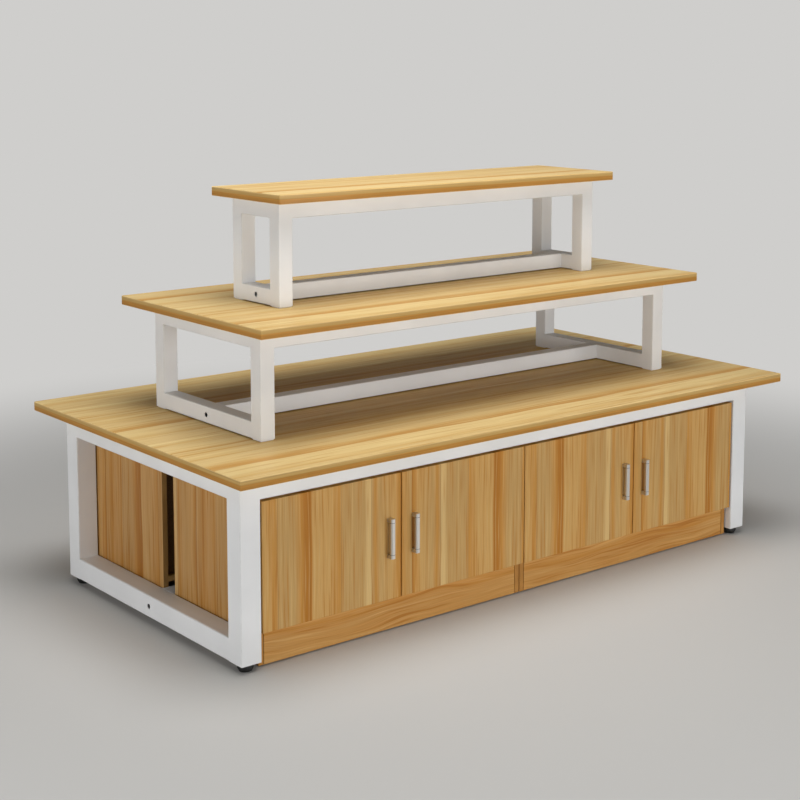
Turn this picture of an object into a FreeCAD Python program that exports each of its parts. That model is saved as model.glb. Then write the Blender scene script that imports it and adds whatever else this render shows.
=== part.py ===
import FreeCAD, Part
import os
import re
import Sketcher
from FreeCAD import Rotation, Vector

# Three-tier island display table: a square-tube base frame with four double-door
# cupboards under its top, and two lift-off risers that repeat the frame in thinner tube.
# Origin on the floor under the centre of the table, X along the table, Z up.

doc = FreeCAD.newDocument("display_table")
sheet = doc.addObject("Spreadsheet::Sheet", "Sizes")

DRIVING_DIMENSIONS = {
    # tops
    "base_length": 2000,
    "base_width": 1085,
    "middle_length": 1626,
    "middle_width": 711,
    "top_length": 1252,
    "top_width": 337,
    "board_thickness": 26,
    "board_easing": 1.5,
    # base frame
    "base_tube": 60,
    "base_wall": 2,
    "base_corner": 2,
    "base_frame_height": 474,
    "base_end_overhang": 55,
    "base_side_overhang": 90,
    # risers
    "riser_tube": 45,
    "riser_wall": 2,
    "riser_corner": 1.5,
    "riser_frame_height": 284,
    "middle_end_overhang": 55,
    "middle_side_overhang": 90,
    "top_end_overhang": 33,
    "top_side_overhang": 55,
    "glide_thickness": 3,
    "glide_inset": 3,
    "glide_spigot": 15,
    # stretcher bolts
    "bolt_diameter": 8,
    "bolt_head_diameter": 13,
    "bolt_head_height": 8,
    "bolt_length": 22,
    "bolt_access": 14,
    "end_plate": 5,
    "fit_gap": 0.3,
    # levelling feet
    "foot_height": 22,
    "foot_diameter": 42,
    "foot_sole_diameter": 32,
    "foot_edge_height": 9,
    "foot_neck_gap": 2,
    "stem_diameter": 10,
    "stem_length": 28,
    "stem_clearance": 0.05,
    "leg_plug_height": 20,
    # cupboards
    "carcass_board": 15,
    "back_board": 5,
    "back_recess": 15,
    "kick_height": 95,
    "kick_end_gap": 2,
    "cabinet_gap": 3,
    "cabinet_top_gap": 3,
    "leg_clearance": 4,
    "cabinet_glide_height": 4,
    "cabinet_glide_length": 20,
    "cabinet_glide_inset": 1.5,
    "cabinet_glide_setback": 30,
    # doors
    "door_board": 18,
    "door_setback": 2.5,
    "door_seat_gap": 2,
    "door_end_gap": 5,
    "door_gap": 3,
    "door_bottom_lap": 2,
    "door_top_inset": 4,
    "door_easing": 1,
    # hinges
    "cup_diameter": 35,
    "cup_depth": 11.5,
    "cup_edge": 5,
    "hinge_inset": 70,
    "flange_length": 52,
    "flange_width": 22,
    "flange_thickness": 1.2,
    "well_length": 24,
    "well_width": 14,
    "well_depth": 9.5,
    "link_width": 10,
    "link_thickness": 6,
    "link_foot": 5,
    "link_reach": 5,
    "arm_length": 58,
    "arm_width": 15,
    "arm_height": 9,
    "plate_thickness": 4,
    "plate_length": 46,
    "plate_width": 20,
    "plate_setback": 15,
    "wing_length": 14,
    "wing_span": 50,
    "bumper_side": 8,
    "bumper_inset": 12,
    # handles
    "handle_length": 107,
    "handle_width": 13,
    "handle_bar": 8,
    "handle_reach": 20,
    "handle_foot": 10,
    "handle_shoulder": 2.5,
    "handle_crown": 8,
    "handle_ring": 1,
    "handle_ring_depth": 0.5,
    "handle_edge": 40,
}

for row, (alias, value) in enumerate(DRIVING_DIMENSIONS.items(), start=1):
    sheet.set(f"A{row}", alias)
    sheet.set(f"B{row}", str(value))
    sheet.setAlias(f"B{row}", alias)
doc.recompute()


def bind(expression):
    """Point every sheet alias in an expression at its cell."""
    return re.sub(r"[a-z]+(?:_[a-z]+)+", lambda word: f"Sizes.{word.group()}", expression)


def value_of(expression):
    return float(sheet.evalExpression(bind(expression)))


# Places that several pieces share, written in the sheet's terms.
BASE_TOP = "(foot_height + base_frame_height + board_thickness)"
RISER_HEIGHT = "(glide_thickness + riser_frame_height + board_thickness)"
BASE_HALF_X = "(base_length / 2 - base_end_overhang)"
BASE_HALF_Y = "(base_width / 2 - base_side_overhang)"
CLEAR_HALF_X = f"({BASE_HALF_X} - base_tube)"
CABINET_WIDTH = f"({CLEAR_HALF_X} - leg_clearance - cabinet_gap / 2)"
CABINET_HEIGHT = "(foot_height + base_frame_height - base_tube - cabinet_top_gap)"
DOOR_FRONT_Y = f"(door_setback - {BASE_HALF_Y})"
DOOR_BACK_Y = f"({DOOR_FRONT_Y} + door_board)"
CARCASS_FRONT_Y = f"({DOOR_BACK_Y} + door_seat_gap)"
# The two rows of cupboards stand with their rear edges against the base's low stretcher.
CARCASS_REAR_Y = "(-base_tube / 2)"
CARCASS_DEPTH = f"({CARCASS_REAR_Y} - {CARCASS_FRONT_Y})"
DOOR_WIDTH = f"((2 * {CLEAR_HALF_X} - 2 * door_end_gap - 3 * door_gap) / 4)"
DOOR_BOTTOM = "(kick_height - door_bottom_lap)"
DOOR_HEIGHT = f"({CABINET_HEIGHT} - door_top_inset - {DOOR_BOTTOM})"

# Places closer than this are the same place.
SAME_PLACE = 0.01

UPRIGHT = Rotation()
ALONG_X = Rotation(Vector(0, 1, 0), 90)
AGAINST_X = Rotation(Vector(0, 1, 0), -90)
ALONG_Y = Rotation(Vector(1, 0, 0), -90)
# Turns a piece drawn flat in XY so that its Y stands up and its Z faces the front.
FACING_FRONT = Rotation(Vector(1, 0, 0), 90)
HALF_TURN = Rotation(Vector(0, 0, 1), 180)
# Turns a piece drawn flat in XY into a wall across X: its X runs in Y and its Y stands up.
ACROSS_X = Rotation(Vector(1, 1, 1), 120)

nodes = []
# Left and right ends, front and rear sides.
ENDS = {"left": -1, "right": 1}
SIDES = {"front": -1, "rear": 1}


def origin_plane(body, role):
    return next(plane for plane in body.Origin.OriginFeatures if plane.Role == role)


def new_sketch(body, name, role="XY_Plane", lift=None):
    """A sketch on one of the body's own origin planes, lifted off it where asked."""
    sketch = body.newObject("Sketcher::SketchObject", name)
    sketch.AttachmentSupport = [(origin_plane(body, role), "")]
    sketch.MapMode = "FlatFace"
    if lift:
        sketch.setExpression("AttachmentOffset.Base.z", bind(lift))
    return sketch


def pin_point(sketch, geometry, end, x, y):
    """Tie one point of a sketch to the sheet, by its distances from the sketch's origin."""
    for kind, axis, expression in (("DistanceX", -2, x), ("DistanceY", -1, y)):
        if expression == "0":
            sketch.addConstraint(Sketcher.Constraint("PointOnObject", geometry, end, axis))
            continue
        number = sketch.addConstraint(
            Sketcher.Constraint(kind, -1, 1, geometry, end, value_of(expression))
        )
        sketch.setExpression(f"Constraints[{number}]", bind(expression))


def add_outline(sketch, points):
    """A closed outline of straight lines through points given as sheet expressions."""
    first = sketch.GeometryCount
    corners = [Vector(value_of(x), value_of(y), 0) for x, y in points]
    count = len(corners)
    for index in range(count):
        sketch.addGeometry(Part.LineSegment(corners[index], corners[(index + 1) % count]))
    for index in range(count):
        following = first + (index + 1) % count
        sketch.addConstraint(Sketcher.Constraint("Coincident", first + index, 2, following, 1))
    for index, (x, y) in enumerate(points):
        pin_point(sketch, first + index, 1, x, y)


def add_rectangle(sketch, x0, y0, x1, y1):
    add_outline(sketch, [(x0, y0), (x1, y0), (x1, y1), (x0, y1)])


def add_centred_rectangle(sketch, width, height):
    add_rectangle(
        sketch, f"-({width}) / 2", f"-({height}) / 2", f"({width}) / 2", f"({height}) / 2"
    )


def add_cut_corner_square(sketch, side, cut):
    """A centred square whose four corners are cut off at 45 degrees."""
    half, flat = f"{side} / 2", f"({side} / 2 - {cut})"
    add_outline(
        sketch,
        [
            (flat, f"-{half}"),
            (half, f"-{flat}"),
            (half, flat),
            (flat, half),
            (f"-{flat}", half),
            (f"-{half}", flat),
            (f"-{half}", f"-{flat}"),
            (f"-{flat}", f"-{half}"),
        ],
    )


def add_circle(sketch, diameter, x="0", y="0"):
    """A circle on a centre given in the sheet's terms."""
    centre = Vector(value_of(x), value_of(y), 0)
    circle = Part.Circle(centre, Vector(0, 0, 1), value_of(diameter) / 2)
    geometry = sketch.addGeometry(circle)
    number = sketch.addConstraint(
        Sketcher.Constraint("Diameter", geometry, value_of(diameter))
    )
    sketch.setExpression(f"Constraints[{number}]", bind(diameter))
    pin_point(sketch, geometry, 3, x, y)


def pad(body, sketch, length, downward=False):
    feature = body.newObject("PartDesign::Pad", f"{sketch.Name}_pad")
    feature.Profile = sketch
    feature.setExpression("Length", bind(length))
    feature.Reversed = downward
    sketch.Visibility = False
    return feature


def pocket(body, sketch, length, upward=False):
    """Cut below the sketch, or above it, and make sure that something was cut."""
    doc.recompute()
    volume = body.Shape.Volume
    feature = body.newObject("PartDesign::Pocket", f"{sketch.Name}_cut")
    feature.Profile = sketch
    feature.setExpression("Length", bind(length))
    feature.Reversed = upward
    doc.recompute()
    if not feature.Shape.Volume < volume:
        raise ValueError(f"{body.Label}: {sketch.Name} cuts nothing")
    return feature


def chamfer(body, base, size, keep_edge):
    """Bevel the edges of a feature that keep_edge picks."""
    doc.recompute()
    names = [
        f"Edge{number}"
        for number, edge in enumerate(base.Shape.Edges, start=1)
        if keep_edge(edge)
    ]
    feature = body.newObject("PartDesign::Chamfer", f"{base.Name}_easing")
    feature.Base = (base, names)
    feature.setExpression("Size", bind(size))
    return feature


def above(height):
    """Picks the edges that lie at a height, in a body's own frame, or above it."""
    limit = value_of(height) - SAME_PLACE
    return lambda edge: edge.CenterOfMass.z > limit


def place(piece, x, y, z, rotation=UPRIGHT):
    """Turn a piece and tie its place to the sheet."""
    piece.Placement.Rotation = rotation
    for axis, expression in zip("xyz", (x, y, z)):
        piece.setExpression(f".Placement.Base.{axis}", bind(expression))


def place_in_row(piece, side, x, y, z, rotation=UPRIGHT):
    """Place a piece of the front row, or turn it round the table's centre to the rear row."""
    if side == "rear":
        x, y, rotation = f"-({x})", f"-({y})", HALF_TURN * rotation
    place(piece, x, y, z, rotation)


def new_body(name):
    return doc.addObject("PartDesign::Body", name)


def add_node(name, pieces):
    """Make one named sub-part of a body, or of several separate solids that belong together."""
    if len(pieces) == 1:
        node = pieces[0]
    else:
        node = doc.addObject("Part::Compound", name)
        node.Links = pieces
    node.Label = name
    nodes.append(node)


def block(name, width, height, depth):
    """A plain board: a centred rectangle padded to its thickness."""
    body = new_body(name)
    sketch = new_sketch(body, f"{name}_outline")
    add_centred_rectangle(sketch, width, height)
    pad(body, sketch, depth)
    return body


# Tube frames. Each end of a tier is one weldment of two legs between which the end rails
# are butt-welded; long top rails and a low central stretcher join the two ends.

TIERS = {
    "base": {
        "length": "base_length",
        "width": "base_width",
        "tube": "base_tube",
        "wall": "base_wall",
        "corner": "base_corner",
        "half_x": BASE_HALF_X,
        "half_y": BASE_HALF_Y,
        "bottom": "foot_height",
        "height": "base_frame_height",
    },
    "middle": {
        "length": "middle_length",
        "width": "middle_width",
        "tube": "riser_tube",
        "wall": "riser_wall",
        "corner": "riser_corner",
        "half_x": "(middle_length / 2 - middle_end_overhang)",
        "half_y": "(middle_width / 2 - middle_side_overhang)",
        "bottom": f"({BASE_TOP} + glide_thickness)",
        "height": "riser_frame_height",
    },
    "top": {
        "length": "top_length",
        "width": "top_width",
        "tube": "riser_tube",
        "wall": "riser_wall",
        "corner": "riser_corner",
        "half_x": "(top_length / 2 - top_end_overhang)",
        "half_y": "(top_width / 2 - top_side_overhang)",
        "bottom": f"({BASE_TOP} + {RISER_HEIGHT} + glide_thickness)",
        "height": "riser_frame_height",
    },
}


def square_tube(name, tier, length):
    """A length of square tube along Z with eased outer corners."""
    tube, wall = tier["tube"], tier["wall"]
    body = new_body(name)
    section = new_sketch(body, f"{name}_section")
    add_cut_corner_square(section, tube, tier["corner"])
    add_centred_rectangle(section, f"{tube} - 2 * {wall}", f"{tube} - 2 * {wall}")
    pad(body, section, length)
    return body


def drill_bolt_holes(rail, end, tier, length):
    """The bolt hole in the inner wall and the wider access hole in the outer wall."""
    middle = f"({length}) / 2"
    reach = f"{tier['tube']} / 2"
    outer = new_sketch(rail, f"{rail.Name}_access", "YZ_Plane")
    add_circle(outer, "bolt_access", "0", middle)
    pocket(rail, outer, reach, upward=end == "right")
    inner = new_sketch(rail, f"{rail.Name}_bolt", "YZ_Plane")
    add_circle(inner, "bolt_diameter + 2 * fit_gap", "0", middle)
    pocket(rail, inner, reach, upward=end == "left")


def build_end_frame(tier_name, end):
    """Two legs with a rail at the top and a rail at the bottom between them."""
    tier = TIERS[tier_name]
    tube, half_y = tier["tube"], tier["half_y"]
    name = f"{tier_name}_frame_{end}"
    sign = ENDS[end]
    centre_x = f"{sign} * ({tier['half_x']} - {tube} / 2)"
    pieces = []
    for side, direction in SIDES.items():
        leg = square_tube(f"{name}_leg_{side}", tier, tier["height"])
        place(leg, centre_x, f"{direction} * ({half_y} - {tube} / 2)", tier["bottom"])
        pieces.append(leg)
    rail_length = f"(2 * {half_y} - 2 * {tube})"
    heights = {
        "bottom": f"{tier['bottom']} + {tube} / 2",
        "top": f"{tier['bottom']} + {tier['height']} - {tube} / 2",
    }
    for level, height in heights.items():
        rail = square_tube(f"{name}_rail_{level}", tier, rail_length)
        if level == "bottom":
            drill_bolt_holes(rail, end, tier, rail_length)
        place(rail, centre_x, f"-{rail_length} / 2", height, ALONG_Y)
        pieces.append(rail)
    add_node(name, pieces)


def build_long_rails(tier_name):
    """The top rails that run under the board at the front and the rear."""
    tier = TIERS[tier_name]
    tube = tier["tube"]
    start = f"{tube} - {tier['half_x']}"
    height = f"{tier['bottom']} + {tier['height']} - {tube} / 2"
    for side, direction in SIDES.items():
        name = f"{tier_name}_rail_{side}"
        rail = square_tube(name, tier, f"-2 * ({start})")
        place(rail, start, f"{direction} * ({tier['half_y']} - {tube} / 2)", height, ALONG_X)
        add_node(name, [rail])


def build_stretcher(tier_name):
    """The low central tube, with a tapped plate welded inside each end."""
    tier = TIERS[tier_name]
    tube = tier["tube"]
    name = f"{tier_name}_stretcher"
    start = f"({tube} - {tier['half_x']})"
    height = f"{tier['bottom']} + {tube} / 2"
    body = square_tube(f"{name}_tube", tier, f"-2 * {start}")
    place(body, start, "0", height, ALONG_X)
    inside = f"{tube} - 2 * {tier['wall']}"
    pieces = [body]
    for end, sign in ENDS.items():
        plate = new_body(f"{name}_plate_{end}")
        face = new_sketch(plate, f"{plate.Name}_face")
        add_centred_rectangle(face, inside, inside)
        add_circle(face, "bolt_diameter + 2 * fit_gap")
        pad(plate, face, "end_plate")
        place(plate, f"{-sign} * {start}", "0", height, AGAINST_X if sign > 0 else ALONG_X)
        pieces.append(plate)
    add_node(name, pieces)


def build_stretcher_bolts(tier_name):
    """A bolt with a round head inside each bottom rail, reached through its access hole."""
    tier = TIERS[tier_name]
    height = f"{tier['bottom']} + {tier['tube']} / 2"
    seat = f"({tier['half_x']} - {tier['tube']} + {tier['wall']})"
    pieces = []
    for end, sign in ENDS.items():
        bolt = new_body(f"{tier_name}_bolt_{end}")
        head = new_sketch(bolt, f"{bolt.Name}_head")
        add_circle(head, "bolt_head_diameter")
        pad(bolt, head, "bolt_head_height", downward=True)
        shank = new_sketch(bolt, f"{bolt.Name}_shank")
        add_circle(shank, "bolt_diameter")
        pad(bolt, shank, "bolt_length")
        place(bolt, f"{sign} * {seat}", "0", height, AGAINST_X if sign > 0 else ALONG_X)
        pieces.append(bolt)
    add_node(f"{tier_name}_stretcher_bolts", pieces)


for tier_name in TIERS:
    for end in ENDS:
        build_end_frame(tier_name, end)
    build_long_rails(tier_name)
    build_stretcher(tier_name)
    build_stretcher_bolts(tier_name)

# Tops. Each board is faced particle board with an eased edge, and lies on its frame.


def build_top(tier_name):
    tier = TIERS[tier_name]
    name = f"{tier_name}_top_board"
    body = new_body(name)
    outline = new_sketch(body, f"{name}_outline")
    add_centred_rectangle(outline, tier["length"], tier["width"])
    board = pad(body, outline, "board_thickness")
    chamfer(body, board, "board_easing", above("0"))
    place(body, "0", "0", f"{tier['bottom']} + {tier['height']}")
    add_node(name, [body])


for tier_name in TIERS:
    build_top(tier_name)

# Feet. The base stands on screw feet in plugs at the bottom of its legs, and each riser
# stands on thin glides whose spigots fill the ends of its legs.


def leg_places(tier):
    """The name, x and y of each leg's centre."""
    for end, sign in ENDS.items():
        for side, direction in SIDES.items():
            x = f"{sign} * ({tier['half_x']} - {tier['tube']} / 2)"
            y = f"{direction} * ({tier['half_y']} - {tier['tube']} / 2)"
            yield f"{side}_{end}", x, y


def build_leg_plugs():
    pieces = []
    inside = "base_tube - 2 * base_wall"
    for corner, x, y in leg_places(TIERS["base"]):
        plug = new_body(f"leg_plug_{corner}")
        face = new_sketch(plug, f"{plug.Name}_face")
        add_centred_rectangle(face, inside, inside)
        add_circle(face, "stem_diameter + 2 * stem_clearance")
        pad(plug, face, "leg_plug_height")
        place(plug, x, y, "foot_height")
        pieces.append(plug)
    add_node("leg_plugs", pieces)


def build_levelling_foot(corner, x, y):
    """A turned foot: a wide rim that draws in towards its sole, and a screw stem."""
    name = f"levelling_foot_{corner}"
    body = new_body(name)
    profile = new_sketch(body, f"{name}_profile", "XZ_Plane")
    top = "foot_height - foot_neck_gap"
    add_outline(
        profile,
        [
            ("0", "0"),
            ("foot_sole_diameter / 2", "0"),
            ("foot_diameter / 2", "foot_edge_height"),
            ("foot_diameter / 2", top),
            ("stem_diameter / 2", top),
            ("stem_diameter / 2", "foot_height + stem_length"),
            ("0", "foot_height + stem_length"),
        ],
    )
    turned = body.newObject("PartDesign::Revolution", f"{name}_turned")
    turned.Profile = profile
    turned.ReferenceAxis = (profile, ["V_Axis"])
    turned.Angle = 360
    profile.Visibility = False
    place(body, x, y, "0")
    add_node(name, [body])


def build_glides(tier_name):
    tier = TIERS[tier_name]
    pieces = []
    for corner, x, y in leg_places(tier):
        glide = new_body(f"{tier_name}_glide_{corner}")
        sole = new_sketch(glide, f"{glide.Name}_sole")
        sole_side = f"{tier['tube']} - 2 * glide_inset"
        add_centred_rectangle(sole, sole_side, sole_side)
        pad(glide, sole, "glide_thickness", downward=True)
        spigot = new_sketch(glide, f"{glide.Name}_spigot")
        spigot_side = f"{tier['tube']} - 2 * {tier['wall']}"
        add_centred_rectangle(spigot, spigot_side, spigot_side)
        pad(glide, spigot, "glide_spigot")
        place(glide, x, y, tier["bottom"])
        pieces.append(glide)
    add_node(f"{tier_name}_glides", pieces)


build_leg_plugs()
for corner, x, y in leg_places(TIERS["base"]):
    build_levelling_foot(corner, x, y)
for tier_name in ("middle", "top"):
    build_glides(tier_name)

# Cupboards. Two rows stand back to back between the legs, two cupboards in each row. Their
# sides stand on glides, and a kick board closes most of the space under each floor board.

CABINETS = {"a": -1, "b": 1}
INSIDE_WIDTH = f"({CABINET_WIDTH} - 2 * carcass_board)"
CARCASS_CENTRE_Y = f"(({CARCASS_FRONT_Y} + {CARCASS_REAR_Y}) / 2)"


def cabinet_centre(sign):
    """The x of a cupboard's middle: the two of a row stand a small gap apart."""
    return f"({sign} * (cabinet_gap + {CABINET_WIDTH}) / 2)"


def side_panel_left(sign, edge):
    """The x of the left face of a cupboard's left (0) or right (1) side panel."""
    offset = f"{edge} * ({CABINET_WIDTH} - carcass_board)"
    return f"({cabinet_centre(sign)} - {CABINET_WIDTH} / 2 + {offset})"


def build_side_glides(side, name, panel_left):
    """Two low glides under a side panel, near its front and rear ends."""
    from_panel_end = "(cabinet_glide_setback + cabinet_glide_length / 2)"
    places = {
        "front": f"{CARCASS_FRONT_Y} + {from_panel_end}",
        "rear": f"{CARCASS_REAR_Y} - {from_panel_end}",
    }
    pieces = []
    for end, y in places.items():
        width = "carcass_board - 2 * cabinet_glide_inset"
        glide = block(f"glide_{name}_{end}", width, "cabinet_glide_length", "cabinet_glide_height")
        place_in_row(glide, side, f"{panel_left} + carcass_board / 2", y, "0")
        pieces.append(glide)
    return pieces


def build_carcasses():
    sides, glides, floors, lids, backs, kicks = [], [], [], [], [], []
    for side in SIDES:
        for cabinet, sign in CABINETS.items():
            name = f"{side}_{cabinet}"
            centre_x = cabinet_centre(sign)
            for edge in (0, 1):
                panel_height = f"({CABINET_HEIGHT} - cabinet_glide_height)"
                panel = block(f"side_{name}_{edge}", CARCASS_DEPTH, panel_height, "carcass_board")
                left = side_panel_left(sign, edge)
                middle = f"({CABINET_HEIGHT} + cabinet_glide_height) / 2"
                place_in_row(panel, side, left, CARCASS_CENTRE_Y, middle, ACROSS_X)
                sides.append(panel)
                glides += build_side_glides(side, f"{name}_{edge}", left)
            floor = block(f"floor_{name}", INSIDE_WIDTH, CARCASS_DEPTH, "carcass_board")
            place_in_row(floor, side, centre_x, CARCASS_CENTRE_Y, "kick_height")
            floors.append(floor)
            lid = block(f"lid_{name}", INSIDE_WIDTH, CARCASS_DEPTH, "carcass_board")
            place_in_row(
                lid, side, centre_x, CARCASS_CENTRE_Y, f"{CABINET_HEIGHT} - carcass_board"
            )
            lids.append(lid)
            back_height = f"({CABINET_HEIGHT} - kick_height - 2 * carcass_board)"
            back = block(f"back_{name}", INSIDE_WIDTH, back_height, "back_board")
            back_middle = f"kick_height + carcass_board + {back_height} / 2"
            back_y = f"{CARCASS_REAR_Y} - back_recess"
            place_in_row(back, side, centre_x, back_y, back_middle, FACING_FRONT)
            backs.append(back)
            kick_width = f"{INSIDE_WIDTH} - 2 * kick_end_gap"
            kick = block(
                f"kick_{name}", kick_width, "kick_height - cabinet_glide_height", "carcass_board"
            )
            kick_y = f"{CARCASS_FRONT_Y} + carcass_board"
            kick_middle = "(kick_height + cabinet_glide_height) / 2"
            place_in_row(kick, side, centre_x, kick_y, kick_middle, FACING_FRONT)
            kicks.append(kick)
    add_node("cabinet_side_panels", sides)
    add_node("cabinet_glides", glides)
    add_node("cabinet_floor_boards", floors)
    add_node("cabinet_top_boards", lids)
    add_node("cabinet_back_panels", backs)
    add_node("cabinet_kick_boards", kicks)


build_carcasses()

# Doors. Each is hung on two concealed cup hinges at its outer or its middle edge, so that
# the handles of a pair meet. A door is drawn from its lower left corner, back face at Z 0.

DOOR_PITCH = f"({DOOR_WIDTH} + door_gap)"
CUP_CENTRE = "(cup_edge + cup_diameter / 2)"
HINGE_HEIGHTS = ("hinge_inset", f"({DOOR_HEIGHT} - hinge_inset)")
# From a door's hinged edge to the inner face of the panel that carries its hinges.
OUTER_PANEL = "(leg_clearance + carcass_board - door_end_gap)"
MIDDLE_PANEL = "(carcass_board + cabinet_gap / 2 - door_gap / 2)"
DOORS = {
    1: {"hung_left": True, "panel": OUTER_PANEL},
    2: {"hung_left": False, "panel": MIDDLE_PANEL},
    3: {"hung_left": True, "panel": MIDDLE_PANEL},
    4: {"hung_left": False, "panel": OUTER_PANEL},
}


def door_left(number):
    """The x of a door's left edge, seen from the front."""
    return f"(door_end_gap - {CLEAR_HALF_X} + {number - 1} * {DOOR_PITCH})"


def from_hinge(number, distance):
    """A distance from the hinged edge as an x in the door's own sketch."""
    if DOORS[number]["hung_left"]:
        return f"({distance})"
    return f"({DOOR_WIDTH} - ({distance}))"


def build_door(side, number):
    name = f"door_{side}_{number}"
    body = new_body(name)
    outline = new_sketch(body, f"{name}_outline")
    add_rectangle(outline, "0", "0", DOOR_WIDTH, DOOR_HEIGHT)
    board = pad(body, outline, "door_board")
    chamfer(body, board, "door_easing", above("door_board"))
    bores = new_sketch(body, f"{name}_cup_bores")
    for height in HINGE_HEIGHTS:
        add_circle(bores, "cup_diameter + 2 * fit_gap", from_hinge(number, CUP_CENTRE), height)
    pocket(body, bores, "cup_depth + fit_gap", upward=True)
    place_in_row(body, side, door_left(number), DOOR_BACK_Y, DOOR_BOTTOM, FACING_FRONT)
    add_node(name, [body])


def handle_section(depth):
    """The section of a handle's bar, or of what is left a depth inside it: flat at the
    back, with two sloping shoulders up to a crown at the front."""
    half = f"(handle_width / 2 - {depth})"
    crown = f"(handle_crown / 2 - {depth})"
    back = f"handle_reach - handle_bar + {depth}"
    shoulder = f"handle_reach - handle_shoulder - {depth}"
    front = f"handle_reach - {depth}"
    return [
        (f"-{half}", back),
        (half, back),
        (half, shoulder),
        (crown, front),
        (f"-{crown}", front),
        (f"-{half}", shoulder),
    ]


def build_handle(side, number):
    """A crowned bar on two feet, with a fine ring cut near each end of the bar."""
    name = f"handle_{side}_{number}"
    body = new_body(name)
    section = new_sketch(body, f"{name}_section", "XZ_Plane", lift="-handle_length / 2")
    add_outline(section, handle_section("0"))
    pad(body, section, "handle_length")
    feet = new_sketch(body, f"{name}_feet")
    half, half_width = "handle_length / 2", "handle_width / 2"
    add_rectangle(feet, f"-{half_width}", f"{half} - handle_foot", half_width, half)
    add_rectangle(feet, f"-{half_width}", f"-{half}", half_width, f"handle_foot - {half}")
    pad(body, feet, "handle_reach - handle_bar")
    for end, direction in {"low": -1, "high": 1}.items():
        position = f"{direction} * ({half} - handle_foot - handle_ring)"
        ring = new_sketch(body, f"{name}_ring_{end}", "XZ_Plane", lift=f"-({position})")
        add_rectangle(ring, "-handle_width", "0", "handle_width", "2 * handle_reach")
        add_outline(ring, handle_section("handle_ring_depth"))
        pocket(body, ring, "handle_ring", upward=end == "low")
    centre = from_hinge(number, f"{DOOR_WIDTH} - handle_edge")
    place_in_row(
        body,
        side,
        f"{door_left(number)} + {centre}",
        DOOR_FRONT_Y,
        f"{DOOR_BOTTOM} + {DOOR_HEIGHT} / 2",
        FACING_FRONT,
    )
    add_node(name, [body])


def build_hinge_cups(side, number):
    """The half of each hinge that turns with the door: a flanged cup pressed into the
    door, with a well in it, and the link that leans out of the well to meet the arm."""
    pieces = []
    # The arm's centre line, measured towards the door's free edge from the cup's centre.
    arm_line = f"({DOORS[number]['panel']} + plate_thickness + arm_height / 2 - {CUP_CENTRE})"
    towards_free = 1 if DOORS[number]["hung_left"] else -1
    for index, height in enumerate(HINGE_HEIGHTS):
        cup = new_body(f"hinge_cup_{side}_{number}_{index}")
        shell = new_sketch(cup, f"{cup.Name}_shell")
        add_circle(shell, "cup_diameter")
        pad(cup, shell, "cup_depth")
        flange = new_sketch(cup, f"{cup.Name}_flange")
        add_centred_rectangle(flange, "flange_width", "flange_length")
        pad(cup, flange, "flange_thickness", downward=True)
        well = new_sketch(cup, f"{cup.Name}_well", lift="well_depth")
        add_centred_rectangle(well, "well_length", "well_width")
        pocket(cup, well, "well_depth + flange_thickness")
        link = new_sketch(cup, f"{cup.Name}_link", "XZ_Plane", lift="-link_width / 2")
        deep = "(well_depth + cup_depth) / 2"
        outline = [
            (f"{towards_free} * link_foot - link_thickness / 2", deep),
            (f"{towards_free} * link_foot + link_thickness / 2", deep),
            (f"{towards_free} * {arm_line} + link_thickness / 2", "-link_reach"),
            (f"{towards_free} * {arm_line} - link_thickness / 2", "-link_reach"),
        ]
        add_outline(link, outline)
        pad(cup, link, "link_width")
        place_in_row(
            cup,
            side,
            f"{door_left(number)} + {from_hinge(number, CUP_CENTRE)}",
            DOOR_BACK_Y,
            f"{DOOR_BOTTOM} + {height}",
            FACING_FRONT,
        )
        pieces.append(cup)
    add_node(f"hinge_cups_{side}_{number}", pieces)


def build_hinge_arm(side, number, index, height):
    """The fixed half of a hinge: a cross-shaped plate on the side panel, and the arm on it."""
    arm = new_body(f"hinge_arm_{side}_{number}_{index}")
    plate = new_sketch(arm, f"{arm.Name}_plate")
    near, far = "plate_setback", "plate_setback + plate_length"
    wing_near = "plate_setback + (plate_length - wing_length) / 2"
    wing_far = f"{wing_near} + wing_length"
    lower = [
        (near, "-plate_width / 2"),
        (wing_near, "-plate_width / 2"),
        (wing_near, "-wing_span / 2"),
        (wing_far, "-wing_span / 2"),
        (wing_far, "-plate_width / 2"),
        (far, "-plate_width / 2"),
    ]
    upper = [(x, y.removeprefix("-")) for x, y in reversed(lower)]
    add_outline(plate, lower + upper)
    pad(arm, plate, "plate_thickness")
    bar = new_sketch(arm, f"{arm.Name}_bar", lift="plate_thickness")
    start = "link_reach - door_seat_gap + fit_gap"
    add_rectangle(bar, start, "-arm_width / 2", f"{start} + arm_length", "arm_width / 2")
    pad(arm, bar, "arm_height")
    # The plate lies on the inner face of the panel that carries the door's hinged edge.
    direction = 1 if DOORS[number]["hung_left"] else -1
    hinged_edge = f"{door_left(number)} + {from_hinge(number, '0')}"
    panel = f"{hinged_edge} + {direction} * {DOORS[number]['panel']}"
    into_cabinet = Rotation(
        Vector(0, 1, 0), Vector(0, 0, direction), Vector(direction, 0, 0), "XYZ"
    )
    place_in_row(
        arm, side, panel, CARCASS_FRONT_Y, f"{DOOR_BOTTOM} + {height}", into_cabinet
    )
    return arm


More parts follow.
